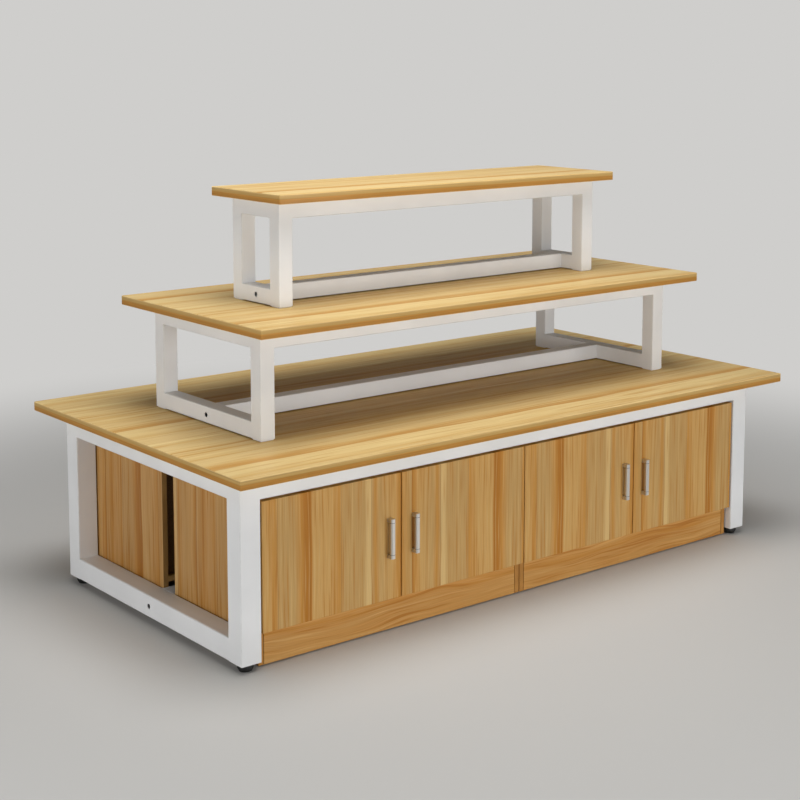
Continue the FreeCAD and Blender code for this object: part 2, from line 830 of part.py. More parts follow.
def build_bumpers(side, number):
    """Two soft pads on the carcass that the free corners of a door close against."""
    pieces = []
    away = from_hinge(number, f"{DOOR_WIDTH} - bumper_inset")
    levels = {
        "low": "kick_height + carcass_board / 2",
        "high": f"{CABINET_HEIGHT} - carcass_board / 2",
    }
    for level, height in levels.items():
        bumper = block(
            f"bumper_{side}_{number}_{level}", "bumper_side", "bumper_side", "door_seat_gap"
        )
        x = f"{door_left(number)} + {away}"
        place_in_row(bumper, side, x, CARCASS_FRONT_Y, height, FACING_FRONT)
        pieces.append(bumper)
    return pieces


hinge_arms, bumpers = [], []
for side in SIDES:
    for number in DOORS:
        build_door(side, number)
        build_handle(side, number)
        build_hinge_cups(side, number)
        for index, height in enumerate(HINGE_HEIGHTS):
            hinge_arms.append(build_hinge_arm(side, number, index, height))
        bumpers += build_bumpers(side, number)
add_node("hinge_arms", hinge_arms)
add_node("door_bumpers", bumpers)

# Check everything, then write one file for each sub-part.

doc.recompute()
for item in doc.Objects:
    faults = {"Invalid", "Error"} & set(item.State)
    if faults:
        raise ValueError(f"{item.Label} failed: {faults}")
for node in nodes:
    if node.Shape.isNull() or not node.Shape.isValid():
        raise ValueError(f"{node.Label} has no valid shape")

os.makedirs("parts", exist_ok=True)
for node in nodes:
    node.Shape.exportStep(f"parts/{node.Label}.step")
print(len(nodes), "sub-parts written")
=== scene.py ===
import math

import bmesh
import bpy
from mathutils import Matrix, Vector


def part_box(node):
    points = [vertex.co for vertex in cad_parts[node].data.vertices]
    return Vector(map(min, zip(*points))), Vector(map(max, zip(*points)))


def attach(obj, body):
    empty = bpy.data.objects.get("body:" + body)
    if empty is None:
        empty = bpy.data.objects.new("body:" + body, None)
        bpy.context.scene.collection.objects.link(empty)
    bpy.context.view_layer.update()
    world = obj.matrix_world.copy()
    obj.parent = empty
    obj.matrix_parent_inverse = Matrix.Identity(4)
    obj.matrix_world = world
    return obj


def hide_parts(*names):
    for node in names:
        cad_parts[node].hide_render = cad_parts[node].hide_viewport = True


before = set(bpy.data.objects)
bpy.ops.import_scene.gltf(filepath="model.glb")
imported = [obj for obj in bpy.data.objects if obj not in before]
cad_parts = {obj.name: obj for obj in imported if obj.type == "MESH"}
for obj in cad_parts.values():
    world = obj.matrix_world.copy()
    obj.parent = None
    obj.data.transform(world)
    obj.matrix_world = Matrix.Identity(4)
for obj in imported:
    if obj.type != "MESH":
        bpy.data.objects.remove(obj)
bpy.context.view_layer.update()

# Tube frames. Square mild steel tube, 60 mm in the base and 45 mm in the two risers. Legs and
# rails are butt-welded, the welds are ground flush, and a stretcher is bolted in low down.

TIERS = {"base": "base", "middle": "middle_riser", "top": "top_riser"}
ENDS = ("left", "right")
SIDES = ("front", "rear")


def linear(code):
    """An sRGB hex colour as the linear red, green, blue and alpha of a shader socket."""
    channels = [int(code[place:place + 2], 16) / 255 for place in (1, 3, 5)]
    bent = [c / 12.92 if c <= 0.04045 else ((c + 0.055) / 1.055) ** 2.4 for c in channels]
    return (*bent, 1.0)


def add_node(tree, kind, inputs=None, stops=None, **settings):
    """Add a node with its settings, what goes into its sockets, and its ramp's stops. A node
    that is given as an input stands for its first output in use."""
    node = tree.nodes.new(kind)
    for name, value in settings.items():
        setattr(node, name, value)
    for name, value in (inputs or {}).items():
        if isinstance(value, bpy.types.Node):
            value = next(socket for socket in value.outputs if socket.enabled)
        if isinstance(value, bpy.types.NodeSocket):
            tree.links.new(value, node.inputs[name])
        else:
            node.inputs[name].default_value = value
    if stops:
        ramp = node.color_ramp.elements
        while len(ramp) < len(stops):
            ramp.new(1.0)
        for element, (position, code) in zip(ramp, stops):
            element.position = position
            element.color = linear(code)
    return node


def new_material(name):
    """An empty material and its node tree."""
    material = bpy.data.materials.new(name)
    material.use_nodes = True
    material.node_tree.nodes.clear()
    return material, material.node_tree


def cover(material, *names):
    """Give CAD nodes a material."""
    for name in names:
        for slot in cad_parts[name].material_slots:
            slot.material = material


# Satin polyester powder coat, sprayed dry and baked: a faint orange peel in the gloss, slow
# clouds in the tone, and a thinner, greyer film on the corners of the tube.
COAT_TONES = ((0.35, "#E1E2E3"), (0.65, "#E8E9EA"))
COAT_THIN = "#C6C6C5"
COAT_SMOOTH = 0.36
COAT_ROUGH = 0.46
CLOUD_SIZE = 0.2
SCUFF_SIZE = 0.015
# Orange peel is about 1.5 mm across, and is drawn at 4 mm so that it shows at all.
PEEL_WIDTH = 0.004
PEEL_HEIGHT = 0.00005
# On a flat face one part of the normal is 1. It is less on a corner and in a drilled hole.
FLAT_NORMAL = 0.95
# The paint, plastics and resins of the table all bend light by about this much.
POLYMER_IOR = 1.5

powder_coat, tree = new_material("satin_white_powder_coat")
place = add_node(tree, "ShaderNodeTexCoord").outputs["Object"]
clouds = add_node(
    tree, "ShaderNodeTexNoise", {"Vector": place, "Scale": 1 / CLOUD_SIZE, "Detail": 3.0}
)
tint = add_node(tree, "ShaderNodeValToRGB", {"Fac": clouds}, COAT_TONES)
normal = add_node(tree, "ShaderNodeNewGeometry").outputs["True Normal"]
normal = add_node(tree, "ShaderNodeVectorMath", {0: normal}, operation="ABSOLUTE")
normal = add_node(tree, "ShaderNodeSeparateXYZ", {"Vector": normal})
flatness = add_node(
    tree, "ShaderNodeMath", {0: normal.outputs["X"], 1: normal.outputs["Y"]}, operation="MAXIMUM"
)
flatness = add_node(
    tree, "ShaderNodeMath", {0: flatness, 1: normal.outputs["Z"]}, operation="MAXIMUM"
)
corner = add_node(
    tree, "ShaderNodeMath", {0: flatness, 1: FLAT_NORMAL}, operation="LESS_THAN"
)
scuffs = add_node(
    tree,
    "ShaderNodeTexNoise",
    {"Vector": place, "Scale": 1 / SCUFF_SIZE, "Detail": 4.0, "Roughness": 0.7},
)
thin = add_node(tree, "ShaderNodeMath", {0: corner, 1: scuffs}, operation="MULTIPLY")
colour = add_node(
    tree, "ShaderNodeMix", {"Factor": thin, "A": tint, "B": linear(COAT_THIN)}, data_type="RGBA"
)
peel = add_node(
    tree, "ShaderNodeTexNoise", {"Vector": place, "Scale": 1 / PEEL_WIDTH, "Detail": 1.0}
)
relief = add_node(tree, "ShaderNodeBump", {"Height": peel, "Distance": PEEL_HEIGHT})
gloss = add_node(
    tree, "ShaderNodeMapRange", {"Value": clouds, "To Min": COAT_SMOOTH, "To Max": COAT_ROUGH}
)
surface = add_node(
    tree,
    "ShaderNodeBsdfPrincipled",
    {"Base Color": colour, "Roughness": gloss, "Normal": relief, "IOR": POLYMER_IOR},
)
add_node(tree, "ShaderNodeOutputMaterial", {"Surface": surface})

for tier in TIERS:
    cover(powder_coat, *(f"{tier}_frame_{end}" for end in ENDS))
    cover(powder_coat, *(f"{tier}_rail_{side}" for side in SIDES), f"{tier}_stretcher")

# Ground welds. Where the square end of a rail meets the rounded corner of a leg, weld metal
# fills the groove between them. It is ground flush and coated with the rest of the frame.

CORNER_CUT = {"base": 0.002, "middle": 0.0015, "top": 0.0015}


def make_piece(name, mesh, material, body):
    """Turn a bmesh into one piece that rides on a body."""
    data = bpy.data.meshes.new(name)
    mesh.to_mesh(data)
    mesh.free()
    data.materials.append(material)
    piece = bpy.data.objects.new(name, data)
    bpy.context.scene.collection.objects.link(piece)
    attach(piece, body)
    return piece


def add_weld(mesh, x, y, heights, into_leg, into_rail, cut):
    """Fill one groove: a three-sided sliver along the rail's side, drawn in at both ends."""
    low, high = heights
    meeting = Vector((x, y, 0.0))
    points = [
        meeting + Vector((0.0, 0.0, low + cut)),
        meeting + Vector((0.0, 0.0, high - cut)),
    ]
    for direction in (into_leg, into_rail):
        for height in heights:
            points.append(meeting + Vector(direction) * cut + Vector((0.0, 0.0, height)))
    corners = [mesh.verts.new(point) for point in points]
    bmesh.ops.convex_hull(mesh, input=corners)


for tier, body in TIERS.items():
    cut = CORNER_CUT[tier]
    mesh = bmesh.new()
    for end, outward in zip(ENDS, (-1, 1)):
        low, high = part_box(f"{tier}_frame_{end}")
        tube = high.x - low.x
        levels = [(low.z, low.z + tube), (high.z - tube, high.z)]
        for toward in (-1, 1):
            y = toward * (high.y - tube)
            for face_x, into_rail in ((low.x, 1), (high.x, -1)):
                for heights in levels:
                    add_weld(mesh, face_x, y, heights, (0, toward, 0), (into_rail, 0, 0), cut)
            # The long rails meet the legs' inner sides.
            inner_x = outward * (abs(low.x + high.x) - tube) / 2
            add_weld(
                mesh, inner_x, toward * high.y, levels[1], (outward, 0, 0), (0, -toward, 0), cut
            )
    make_piece(f"{tier}_frame_welds", mesh, powder_coat, body)

# Stretcher screws. M8 socket cap screws in black oxide, sunk inside the end rails. Only the
# head with its 6 mm hexagon socket shows, at the bottom of the access hole.

ROUND_POINTS = 24
CAP_HEAD_RADIUS = 0.0065
CAP_HEAD_HEIGHT = 0.008
CAP_HEAD_EASING = 0.0006
CAP_SOCKET_WIDTH = 0.006
CAP_SOCKET_DEPTH = 0.004
CAP_SHANK_RADIUS = 0.004
CAP_SHANK_LENGTH = 0.022


def ring(outline, height):
    """Points round an outline, which is given as its radius at each angle."""
    angles = [2 * math.pi * step / ROUND_POINTS for step in range(ROUND_POINTS)]
    return [Vector((outline(a) * math.cos(a), outline(a) * math.sin(a), height)) for a in angles]


def circle(radius):
    """The outline of a circle."""
    return lambda angle: radius


def hexagon(width):
    """The outline of a hexagon, given its width across the flats."""
    sector = math.pi / 3
    return lambda angle: width / 2 / math.cos(angle % sector - sector / 2)


def add_loft(mesh, rings, place):
    """Skin a row of rings, close both ends, and put the solid at its place."""
    rows = [[mesh.verts.new(place @ point) for point in points] for points in rings]
    for row, next_row in zip(rows, rows[1:]):
        for index in range(len(row)):
            following = (index + 1) % len(row)
            mesh.faces.new((row[index], row[following], next_row[following], next_row[index]))
    mesh.faces.new(tuple(reversed(rows[0])))
    mesh.faces.new(tuple(rows[-1]))


def facing(direction):
    """Turns a piece that is drawn facing up so that it faces in a direction."""
    return Vector(direction).to_track_quat("Z", "Y").to_matrix().to_4x4()


# Hot black oxide on steel is a thin dark stain with an oily sheen: the metal shows through.
OXIDE_TONES = ((0.3, "#161514"), (0.7, "#2C2925"))
OXIDE_SMOOTH = 0.3
OXIDE_ROUGH = 0.5
# The oil lies in patches of about 3 mm.
OIL_PATCHES_PER_METRE = 300.0

black_oxide, tree = new_material("black_oxide_steel")
place = add_node(tree, "ShaderNodeTexCoord").outputs["Object"]
oil = add_node(
    tree, "ShaderNodeTexNoise", {"Vector": place, "Scale": OIL_PATCHES_PER_METRE, "Detail": 3.0}
)
tint = add_node(tree, "ShaderNodeValToRGB", {"Fac": oil}, OXIDE_TONES)
gloss = add_node(
    tree, "ShaderNodeMapRange", {"Value": oil, "To Min": OXIDE_SMOOTH, "To Max": OXIDE_ROUGH}
)
surface = add_node(
    tree, "ShaderNodeBsdfPrincipled", {"Base Color": tint, "Metallic": 1.0, "Roughness": gloss}
)
add_node(tree, "ShaderNodeOutputMaterial", {"Surface": surface})

cap_screw = [
    ring(circle(CAP_SHANK_RADIUS), -CAP_HEAD_HEIGHT - CAP_SHANK_LENGTH),
    ring(circle(CAP_SHANK_RADIUS), -CAP_HEAD_HEIGHT),
    ring(circle(CAP_HEAD_RADIUS), -CAP_HEAD_HEIGHT),
    ring(circle(CAP_HEAD_RADIUS), -CAP_HEAD_EASING),
    ring(circle(CAP_HEAD_RADIUS - CAP_HEAD_EASING), 0.0),
    ring(hexagon(CAP_SOCKET_WIDTH), 0.0),
    ring(hexagon(CAP_SOCKET_WIDTH), -CAP_SOCKET_DEPTH),
]
for tier, body in TIERS.items():
    low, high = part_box(f"{tier}_stretcher_bolts")
    mesh = bmesh.new()
    for outward in (-1, 1):
        head_top = Vector((outward * high.x, 0.0, (low.z + high.z) / 2))
        add_loft(mesh, cap_screw, Matrix.Translation(head_top) @ facing((outward, 0, 0)))
    screws = make_piece(f"{tier}_cap_screws", mesh, black_oxide, body)
    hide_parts(f"{tier}_stretcher_bolts")

# Leg plugs, levelling feet and cupboard glides. Black polyamide mouldings: a plug pressed into
# each leg, a foot moulded on an M10 stem, and low pads nailed under the cupboard sides.

BLACK_MOULDING = ((0.4, "#101010"), (0.75, "#1E1E1D"))
BLACK_ROUGHNESS = 0.5
RUBBED_SPREAD = 0.08
# The patches that are rubbed glossy are about 25 mm across.
RUBBED_PATCHES_PER_METRE = 40.0
# The spark texture of the mould is about 0.1 mm across, and is drawn at 0.8 mm so that it shows.
SPARKS_PER_METRE = 1250.0
SPARK_HEIGHT = 0.00004


def moulded_plastic(name, tones, roughness):
    """An injection moulding: fine spark texture from its tool, and rubbed, glossier patches."""
    material, tree = new_material(name)
    place = add_node(tree, "ShaderNodeTexCoord").outputs["Object"]
    spark = add_node(
        tree, "ShaderNodeTexNoise", {"Vector": place, "Scale": SPARKS_PER_METRE, "Detail": 2.0}
    )
    rubbed = add_node(
        tree,
        "ShaderNodeTexNoise",
        {"Vector": place, "Scale": RUBBED_PATCHES_PER_METRE, "Detail": 3.0},
    )
    tint = add_node(tree, "ShaderNodeValToRGB", {"Fac": rubbed}, tones)
    gloss = add_node(
        tree,
        "ShaderNodeMapRange",
        {
            "Value": rubbed,
            "To Min": roughness + RUBBED_SPREAD,
            "To Max": roughness - RUBBED_SPREAD,
        },
    )
    relief = add_node(tree, "ShaderNodeBump", {"Height": spark, "Distance": SPARK_HEIGHT})
    surface = add_node(
        tree,
        "ShaderNodeBsdfPrincipled",
        {"Base Color": tint, "Roughness": gloss, "Normal": relief, "IOR": POLYMER_IOR},
    )
    add_node(tree, "ShaderNodeOutputMaterial", {"Surface": surface})
    return material


black_polyamide = moulded_plastic("black_polyamide", BLACK_MOULDING, BLACK_ROUGHNESS)
cover(black_polyamide, "leg_plugs", "cabinet_glides")
for end in ENDS:
    cover(black_polyamide, *(f"levelling_foot_{side}_{end}" for side in SIDES))

# Cupboard carcasses. Particle board, 15 mm thick, faced with printed melamine film and edged
# to match. The grain stands upright on the sides and runs level on every other board.

# One sheet of the printed pattern is five staves wide. Each stave starts at a fine dark joint,
# and the tones across the sheet are in millimetres from its edge.
STAVE_WIDTH = 0.098
FIRST_JOINT = 0.035
JOINT_WIDTH = 0.0011
JOINT_STRENGTH = 0.7
SHEET_WIDTH = 0.49
MILLIMETRES = 1000
SHEET_TONES = (
    (0, "gold"),
    (34, "sand"),
    (36, "rust"),
    (45, "gold"),
    (60, "pale"),
    (106, "sand"),
    (122, "gold"),
    (131, "sand"),
    (137, "cream"),
    (149, "cream"),
    (154, "sand"),
    (226, "sand"),
    (238, "gold"),
    (266, "pale"),
    (322, "pale"),
    (325, "rust"),
    (344, "rust"),
    (358, "gold"),
    (380, "sand"),
    (424, "sand"),
    (436, "gold"),
    (466, "pale"),
    (490, "gold"),
)
UPRIGHT_TONES = {
    "cream": "#D3B277",
    "pale": "#C89D5D",
    "sand": "#BE985E",
    "gold": "#C08A42",
    "rust": "#B0742B",
    "joint": "#835624",
}
# The side panels carry the doors' print in darker tones: painted shade.
SHADED_SIDE_TONES = {
    "cream": "#C6A068",
    "pale": "#BC9056",
    "sand": "#B48A52",
    "gold": "#B37E3E",
    "rust": "#A26927",
    "joint": "#744A20",
}
KICK_TONES = {
    "cream": "#DAB172",
    "pale": "#CE9E5B",
    "sand": "#C59251",
    "gold": "#BF853D",
    "rust": "#AD6C26",
    "joint": "#BF853D",
}
# How often each pattern repeats in a metre: across the grain, along it, and with the place
# where a board starts on the sheet. Every band wanders over a third of a metre of its length.
BENDS_PER_METRE = (14.0, 2.8, 7.0)
# Lines of early and late wood are 2 to 6 mm wide and about 0.3 m long, with gaps between them.
LINES_PER_METRE = (140.0, 3.2, 3.0)
# Pores and fibres are 0.1 mm wide, and are drawn at 1.5 mm so that they show.
FIBRES_PER_METRE = (650.0, 9.0, 3.0)
FIBRE_HEIGHT = 0.00002
# The line pattern's values where a line begins and where it is full, and how strong it is then.
LATE_WOOD = (0.54, 0.68, 0.7)
EARLY_WOOD = (0.46, 0.3, 0.5)
# A noise pattern's values seldom leave this range.
NOISE_LOW = 0.3
NOISE_HIGH = 0.7
FIBRE_LIGHTEST = 1.08
FIBRE_DARKEST = 0.91
PAPER_SMOOTH = 0.5
PAPER_ROUGH = 0.7
FILM_SPREAD = 0.15
FILM_ROUGHNESS = 0.22


def wander(tree, across, along, start, sway):
    """The place across the grain, shifted a little as a band of the print wanders."""
    grain = add_node(tree, "ShaderNodeCombineXYZ", {"X": across, "Y": along, "Z": start})
    bend = add_node(tree, "ShaderNodeMapping", {"Vector": grain, "Scale": BENDS_PER_METRE})
    bend = add_node(tree, "ShaderNodeTexNoise", {"Vector": bend, "Scale": 1.0, "Detail": 1.5})
    shift = add_node(
        tree, "ShaderNodeMapRange", {"Value": bend, "To Min": -2 * sway, "To Max": 2 * sway}
    )
    return add_node(tree, "ShaderNodeMath", {0: across, 1: shift}, operation="ADD")


def print_bands(tree, across, tones):
    """The broad bands of tone that lie side by side on the sheet."""
    on_sheet = add_node(tree, "ShaderNodeMath", {0: across, 1: SHEET_WIDTH}, operation="DIVIDE")
    on_sheet = add_node(tree, "ShaderNodeMath", {0: on_sheet}, operation="FRACT")
    stops = [(edge / MILLIMETRES / SHEET_WIDTH, tones[tone]) for edge, tone in SHEET_TONES]
    return add_node(tree, "ShaderNodeValToRGB", {"Fac": on_sheet}, stops)


def print_lines(tree, lines, below, code, begins, full, strength):
    """Lay lines of one tone over the print below."""
    amount = add_node(
        tree,
        "ShaderNodeMapRange",
        {"Value": lines, "From Min": begins, "From Max": full, "To Max": strength},
    )
    return add_node(
        tree, "ShaderNodeMix", {"Factor": amount, "A": below, "B": linear(code)}, data_type="RGBA"
    )


def print_joints(tree, across, below, code):
    """Lay the straight joints between the staves over the print below."""
    in_stave = add_node(
        tree, "ShaderNodeMath", {0: across, 1: FIRST_JOINT}, operation="SUBTRACT"
    )
    in_stave = add_node(
        tree, "ShaderNodeMath", {0: in_stave, 1: STAVE_WIDTH}, operation="DIVIDE"
    )
    in_stave = add_node(tree, "ShaderNodeMath", {0: in_stave}, operation="FRACT")
    joint = add_node(
        tree,
        "ShaderNodeMath",
        {0: in_stave, 1: JOINT_WIDTH / STAVE_WIDTH},
        operation="LESS_THAN",
    )
    joint = add_node(tree, "ShaderNodeMath", {0: joint, 1: JOINT_STRENGTH}, operation="MULTIPLY")
    return add_node(
        tree, "ShaderNodeMix", {"Factor": joint, "A": below, "B": linear(code)}, data_type="RGBA"
    )


def melamine(name, tones, lay_out, start=0.0, sway=0.004, film=0.5):
    """Wood grain printed on paper under a clear resin film. lay_out gives the place across the
    grain and along it, start the place on the printed sheet, and sway how far the grain wanders.
    film is how much of the resin there is: the paper under it is dull by itself."""
    material, tree = new_material(name)
    place = add_node(tree, "ShaderNodeTexCoord").outputs["Object"]
    split = add_node(tree, "ShaderNodeSeparateXYZ", {"Vector": place})
    across, along = lay_out(tree, split)
    across = add_node(tree, "ShaderNodeMath", {0: across, 1: start}, operation="ADD")
    wavy = wander(tree, across, along, start, sway)
    grain = add_node(tree, "ShaderNodeCombineXYZ", {"X": wavy, "Y": along, "Z": start})
    lines = add_node(tree, "ShaderNodeMapping", {"Vector": grain, "Scale": LINES_PER_METRE})
    lines = add_node(
        tree,
        "ShaderNodeTexNoise",
        {"Vector": lines, "Scale": 1.0, "Detail": 2.0, "Roughness": 0.6},
    )
    fibre = add_node(tree, "ShaderNodeMapping", {"Vector": grain, "Scale": FIBRES_PER_METRE})
    fibre = add_node(tree, "ShaderNodeTexNoise", {"Vector": fibre, "Scale": 1.0, "Detail": 2.0})
    depth = add_node(
        tree,
        "ShaderNodeMapRange",
        {
            "Value": fibre,
            "From Min": NOISE_LOW,
            "From Max": NOISE_HIGH,
            "To Min": FIBRE_LIGHTEST,
            "To Max": FIBRE_DARKEST,
        },
    )
    printed = print_bands(tree, wavy, tones)
    printed = print_lines(tree, lines, printed, tones["rust"], *LATE_WOOD)
    printed = print_lines(tree, lines, printed, tones["cream"], *EARLY_WOOD)
    printed = add_node(
        tree, "ShaderNodeVectorMath", {0: printed, "Scale": depth}, operation="SCALE"
    )
    printed = print_joints(tree, across, printed, tones["joint"])
    relief = add_node(tree, "ShaderNodeBump", {"Height": fibre, "Distance": FIBRE_HEIGHT})
    paper = add_node(
        tree, "ShaderNodeMapRange", {"Value": fibre, "To Min": PAPER_SMOOTH, "To Max": PAPER_ROUGH}
    )
    resin = add_node(
        tree,
        "ShaderNodeMapRange",
        {"Value": fibre, "To Min": film + FILM_SPREAD, "To Max": film - FILM_SPREAD},
    )
    surface = add_node(
        tree,
        "ShaderNodeBsdfPrincipled",
        {
            "Base Color": printed,
            "Roughness": paper,
            "Normal": relief,
            "IOR": POLYMER_IOR,
            "Specular IOR Level": 0.0,
            "Coat Weight": resin,
            "Coat Roughness": FILM_ROUGHNESS,
            "Coat IOR": POLYMER_IOR,
            "Coat Normal": relief,
        },
    )
    add_node(tree, "ShaderNodeOutputMaterial", {"Surface": surface})
    return material


def upright(tree, split):
    """Grain that stands upright on the end of the cupboards."""
    return split.outputs["Y"], split.outputs["Z"]


def level_on_face(tree, split):
    """Grain that runs along the front of the table."""
    return split.outputs["Z"], split.outputs["X"]


def level_on_top(tree, split):
    """Grain that runs along a board that lies flat."""
    return split.outputs["Y"], split.outputs["X"]


side_film = melamine("side_panel_melamine", SHADED_SIDE_TONES, upright, start=0.18)
kick_film = melamine("kick_board_melamine", KICK_TONES, level_on_face, start=0.17, sway=0.016)
board_film = melamine("level_board_melamine", UPRIGHT_TONES, level_on_top, start=0.1)
cover(side_film, "cabinet_side_panels")
cover(kick_film, "cabinet_kick_boards")
cover(board_film, "cabinet_floor_boards", "cabinet_top_boards")

# Back panels. Unfaced hardboard, 5 mm thick, in grooves of the carcass: felted brown wood
# fibre, pressed smooth and dull.

HARDBOARD_TONES = ((0.3, "#6B4A2C"), (0.7, "#8C6840"))
HARDBOARD_SMOOTH = 0.68
HARDBOARD_ROUGH = 0.82
# The felted fibres are 0.2 mm thick, and are drawn as 3 mm flecks so that they show.
FLECKS_PER_METRE = 330.0
FLECK_HEIGHT = 0.0001

hardboard, tree = new_material("pressed_hardboard")
place = add_node(tree, "ShaderNodeTexCoord").outputs["Object"]
flecks = add_node(
    tree, "ShaderNodeTexNoise", {"Vector": place, "Scale": FLECKS_PER_METRE, "Detail": 4.0}
)
tint = add_node(tree, "ShaderNodeValToRGB", {"Fac": flecks}, HARDBOARD_TONES)
gloss = add_node(
    tree,
    "ShaderNodeMapRange",
    {"Value": flecks, "To Min": HARDBOARD_SMOOTH, "To Max": HARDBOARD_ROUGH},
)
relief = add_node(tree, "ShaderNodeBump", {"Height": flecks, "Distance": FLECK_HEIGHT})
surface = add_node(
    tree,
    "ShaderNodeBsdfPrincipled",
    {"Base Color": tint, "Roughness": gloss, "Normal": relief, "IOR": POLYMER_IOR},
)
add_node(tree, "ShaderNodeOutputMaterial", {"Surface": surface})
cover(hardboard, "cabinet_back_panels")

# Hinge arms. Pressed steel arms on cross-shaped plates, nickel-plated. Two low domed screws
# hold each plate to its panel, and two screws in the arm set the door's reach and gap.

DOOR_NUMBERS = (1, 2, 3, 4)
DOORS = [(side, number) for side in SIDES for number in DOOR_NUMBERS]
# Each rear piece is its front piece turned half round, about the middle of the table.
TURN = {"front": Matrix.Identity(4), "rear": Matrix.Rotation(math.pi, 4, "Z")}
CARCASS_BOARD = 0.015
HALF_CABINET_GAP = 0.0015
CUP_FLANGE_HALF = 0.026
PLATE_THICKNESS = 0.004
ARM_FACE = 0.013
PLATE_MIDDLE = 0.038
PLATE_SCREW_OFFSET = 0.0175
ARM_SCREW_PLACES = (0.026, 0.05)
SCREW_RADIUS = 0.0036
SCREW_DOME = 0.0011
SCREW_SHOULDER = SCREW_DOME / 3
SCREW_CROWN = SCREW_DOME * 0.9
CROSS_REACH = 0.0021
CROSS_HALF_WIDTH = 0.00055
CROSS_DEPTH = 0.0012
CROSS_TAPER = 0.7
# Keeps the outline of the cross from dividing by zero.
LEAST_SINE = 0.000001

# Bright nickel on pressed steel: warm grey metal, mirror-like but with fine draw marks.
NICKEL_TONES = ((0.3, "#D3CEC6"), (0.7, "#E6E2DA"))
NICKEL_SMOOTH = 0.24
NICKEL_ROUGH = 0.42
# Draw marks are 0.5 mm wide, and are drawn at 5.5 mm so that they show.
DRAW_MARKS_PER_METRE = 180.0
DRAW_MARK_HEIGHT = 0.00003

nickel, tree = new_material("nickel_plated_steel")
place = add_node(tree, "ShaderNodeTexCoord").outputs["Object"]
marks = add_node(
    tree, "ShaderNodeTexNoise", {"Vector": place, "Scale": DRAW_MARKS_PER_METRE, "Detail": 4.0}
)
tint = add_node(tree, "ShaderNodeValToRGB", {"Fac": marks}, NICKEL_TONES)
gloss = add_node(
    tree, "ShaderNodeMapRange", {"Value": marks, "To Min": NICKEL_SMOOTH, "To Max": NICKEL_ROUGH}
)
relief = add_node(tree, "ShaderNodeBump", {"Height": marks, "Distance": DRAW_MARK_HEIGHT})
surface = add_node(
    tree,
    "ShaderNodeBsdfPrincipled",
    {"Base Color": tint, "Metallic": 1.0, "Roughness": gloss, "Normal": relief},
)
add_node(tree, "ShaderNodeOutputMaterial", {"Surface": surface})
cover(nickel, "hinge_arms", *(f"hinge_cups_{side}_{number}" for side, number in DOORS))


def cross(reach, half_width):
    """The outline of a cross-shaped recess."""

    def outline(angle):
        wide = max(abs(math.cos(angle)), LEAST_SINE)
        tall = max(abs(math.sin(angle)), LEAST_SINE)
        level_arm = min(reach / wide, half_width / tall)
        upright_arm = min(half_width / wide, reach / tall)
        return max(level_arm, upright_arm)

    return outline


def add_cross_screw(mesh, place):
    """A low domed screw head with a cross recess, seated at Z 0."""
    rim = (SCREW_RADIUS + CROSS_REACH) / 2
    rings = [
        ring(circle(SCREW_RADIUS), 0.0),
        ring(circle(SCREW_RADIUS), SCREW_SHOULDER),
        ring(circle(rim), SCREW_CROWN),
        ring(circle(CROSS_REACH), SCREW_DOME),
        ring(cross(CROSS_REACH, CROSS_HALF_WIDTH), SCREW_DOME),
        ring(
            cross(CROSS_REACH * CROSS_TAPER, CROSS_HALF_WIDTH * CROSS_TAPER),
            SCREW_DOME - CROSS_DEPTH,
        ),
    ]
    add_loft(mesh, rings, place)


def hinge_heights(number):
    """The heights of a door's two hinges."""
    low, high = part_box(f"hinge_cups_front_{number}")
    return low.z + CUP_FLANGE_HALF, high.z - CUP_FLANGE_HALF


inner_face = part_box("cabinet_floor_boards")[1].x
middle_face = HALF_CABINET_GAP + CARCASS_BOARD
# The x of the panel that carries each front door, and the way that its hinges face.
PANEL_FACES = {
    1: (-inner_face, 1),
    2: (-middle_face, -1),
    3: (middle_face, 1),
    4: (inner_face, -1),
}
# How far each screw of a hinge stands off the panel, how far behind the carcass's front it is,
# and how far above the hinge's middle.
HINGE_SCREWS = [
    (PLATE_THICKNESS, PLATE_MIDDLE, -PLATE_SCREW_OFFSET),
    (PLATE_THICKNESS, PLATE_MIDDLE, PLATE_SCREW_OFFSET),
] + [(ARM_FACE, distance, 0.0) for distance in ARM_SCREW_PLACES]
carcass_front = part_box("cabinet_side_panels")[0].y
mesh = bmesh.new()
for side, number in DOORS:
    panel_x, direction = PANEL_FACES[number]
    for height in hinge_heights(number):
        for stand_off, distance, rise in HINGE_SCREWS:
            seat = Vector(
                (panel_x + direction * stand_off, carcass_front + distance, height + rise)
            )
            upward = Matrix.Translation(seat) @ facing((direction, 0, 0))
            add_cross_screw(mesh, TURN[side] @ upward)
make_piece("hinge_arm_screws", mesh, nickel, "base")

# Door bumpers. Domed pads of soft clear rubber, stuck on the carcass where the free corners of
# a door land, so that it closes without a knock.

BUMPER_RADIUS = 0.004
BUMPER_HEIGHT = 0.002
BUMPER_INSET = 0.012
DOME_STEPS = 5
RUBBER_TONES = ((0.3, "#C9C6BC"), (0.7, "#DAD8D0"))
RUBBER_SMOOTH = 0.2
RUBBER_ROUGH = 0.35
RUBBER_CLARITY = 0.4
RUBBER_IOR = 1.45
# The rubber is hazy in specks of 2 to 3 mm.
HAZE_PER_METRE = 400.0

